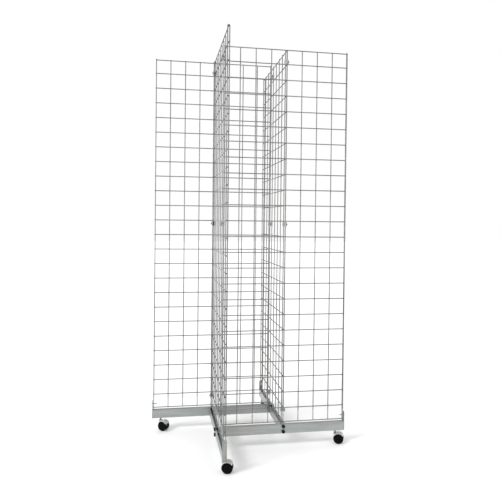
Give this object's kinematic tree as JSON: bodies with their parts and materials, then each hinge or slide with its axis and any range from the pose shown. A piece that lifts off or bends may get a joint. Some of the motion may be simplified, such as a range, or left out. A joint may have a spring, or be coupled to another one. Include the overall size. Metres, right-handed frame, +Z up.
{
  "type": "gridwall floor display",
  "caption": "Pinwheel gridwall floor display: wire grid panels standing over channel rails, joined by clips and rolling on twin-wheel swivel casters.",
  "frame": {"origin": "on the floor under the middle of the pinwheel", "axes": "+Z up; the front panel faces -Y and its free end points +X"},
  "size_m": [0.949, 0.949, 1.9413],
  "materials": {
    "chrome_wire": "bright chrome-plated wire, welded at each crossing",
    "zinc_steel": "zinc-plated sheet steel with a slight blue-green tint",
    "bright_steel": "bright zinc-plated steel",
    "black_steel": "black oxide steel",
    "caster_zinc": "cast zinc, satin",
    "caster_black": "black moulded plastic"
  },
  "bodies": {
    "root": {"grid_panel_front": "chrome_wire", "base_rail_front": "zinc_steel", "joiner_clip_front_top": "bright_steel", "clip_screw_front_top": "black_steel", "joiner_clip_front_middle": "bright_steel", "clip_screw_front_middle": "black_steel", "joiner_clip_front_bottom": "bright_steel", "clip_screw_front_bottom": "black_steel", "rail_bolt_front_upper": "black_steel", "rail_bolt_front_lower": "black_steel", "retaining_screw_front": "bright_steel", "grid_panel_right": "chrome_wire", "base_rail_right": "zinc_steel", "joiner_clip_right_top": "bright_steel", "clip_screw_right_top": "black_steel", "joiner_clip_right_middle": "bright_steel", "clip_screw_right_middle": "black_steel", "joiner_clip_right_bottom": "bright_steel", "clip_screw_right_bottom": "black_steel", "rail_bolt_right_upper": "black_steel", "rail_bolt_right_lower": "black_steel", "retaining_screw_right": "bright_steel", "grid_panel_back": "chrome_wire", "base_rail_back": "zinc_steel", "joiner_clip_back_top": "bright_steel", "clip_screw_back_top": "black_steel", "joiner_clip_back_middle": "bright_steel", "clip_screw_back_middle": "black_steel", "joiner_clip_back_bottom": "bright_steel", "clip_screw_back_bottom": "black_steel", "rail_bolt_back_upper": "black_steel", "rail_bolt_back_lower": "black_steel", "retaining_screw_back": "bright_steel", "grid_panel_left": "chrome_wire", "base_rail_left": "zinc_steel", "joiner_clip_left_top": "bright_steel", "clip_screw_left_top": "black_steel", "joiner_clip_left_middle": "bright_steel", "clip_screw_left_middle": "black_steel", "joiner_clip_left_bottom": "bright_steel", "clip_screw_left_bottom": "black_steel", "rail_bolt_left_upper": "black_steel", "rail_bolt_left_lower": "black_steel", "retaining_screw_left": "bright_steel"},
    "caster_front": {"caster_housing_front": "caster_zinc", "caster_axle_front": "bright_steel"},
    "wheel_front_a": {"caster_wheel_front_a": "caster_black"},
    "wheel_front_b": {"caster_wheel_front_b": "caster_black"},
    "caster_right": {"caster_housing_right": "caster_zinc", "caster_axle_right": "bright_steel"},
    "wheel_right_a": {"caster_wheel_right_a": "caster_black"},
    "wheel_right_b": {"caster_wheel_right_b": "caster_black"},
    "caster_back": {"caster_housing_back": "caster_zinc", "caster_axle_back": "bright_steel"},
    "wheel_back_a": {"caster_wheel_back_a": "caster_black"},
    "wheel_back_b": {"caster_wheel_back_b": "caster_black"},
    "caster_left": {"caster_housing_left": "caster_zinc", "caster_axle_left": "bright_steel"},
    "wheel_left_a": {"caster_wheel_left_a": "caster_black"},
    "wheel_left_b": {"caster_wheel_left_b": "caster_black"}
  },
  "joints": [
    {"name": "swivel_front", "type": "hinge", "parent": "root", "child": "caster_front", "pos_m": [0.427, -0.1612, 0.06], "axis": [0, 0, 1], "continuous": true},
    {"name": "roll_front_a", "type": "hinge", "parent": "caster_front", "child": "wheel_front_a", "pos_m": [0.44391, -0.16736, 0.0254], "axis": [0.342, 0.9397, 0], "continuous": true},
    {"name": "roll_front_b", "type": "hinge", "parent": "caster_front", "child": "wheel_front_b", "pos_m": [0.44391, -0.16736, 0.0254], "axis": [0.342, 0.9397, 0], "continuous": true},
    {"name": "swivel_right", "type": "hinge", "parent": "root", "child": "caster_right", "pos_m": [0.1612, 0.427, 0.06], "axis": [0, 0, 1], "continuous": true},
    {"name": "roll_right_a", "type": "hinge", "parent": "caster_right", "child": "wheel_right_a", "pos_m": [0.17902, 0.4245, 0.0254], "axis": [0.1392, 0.9903, 0], "continuous": true},
    {"name": "roll_right_b", "type": "hinge", "parent": "caster_right", "child": "wheel_right_b", "pos_m": [0.17902, 0.4245, 0.0254], "axis": [0.1392, 0.9903, 0], "continuous": true},
    {"name": "swivel_back", "type": "hinge", "parent": "root", "child": "caster_back", "pos_m": [-0.427, 0.1612, 0.06], "axis": [0, 0, 1], "continuous": true},
    {"name": "roll_back_a", "type": "hinge", "parent": "caster_back", "child": "wheel_back_a", "pos_m": [-0.41174, 0.15166, 0.0254], "axis": [0.5299, 0.848, 0], "continuous": true},
    {"name": "roll_back_b", "type": "hinge", "parent": "caster_back", "child": "wheel_back_b", "pos_m": [-0.41174, 0.15166, 0.0254], "axis": [0.5299, 0.848, 0], "continuous": true},
    {"name": "swivel_left", "type": "hinge", "parent": "root", "child": "caster_left", "pos_m": [-0.1612, -0.427, 0.06], "axis": [0, 0, 1], "continuous": true},
    {"name": "roll_left_a", "type": "hinge", "parent": "caster_left", "child": "wheel_left_a", "pos_m": [-0.14374, -0.43135, 0.0254], "axis": [0.2419, 0.9703, 0], "continuous": true},
    {"name": "roll_left_b", "type": "hinge", "parent": "caster_left", "child": "wheel_left_b", "pos_m": [-0.14374, -0.43135, 0.0254], "axis": [0.2419, 0.9703, 0], "continuous": true}
  ]
}
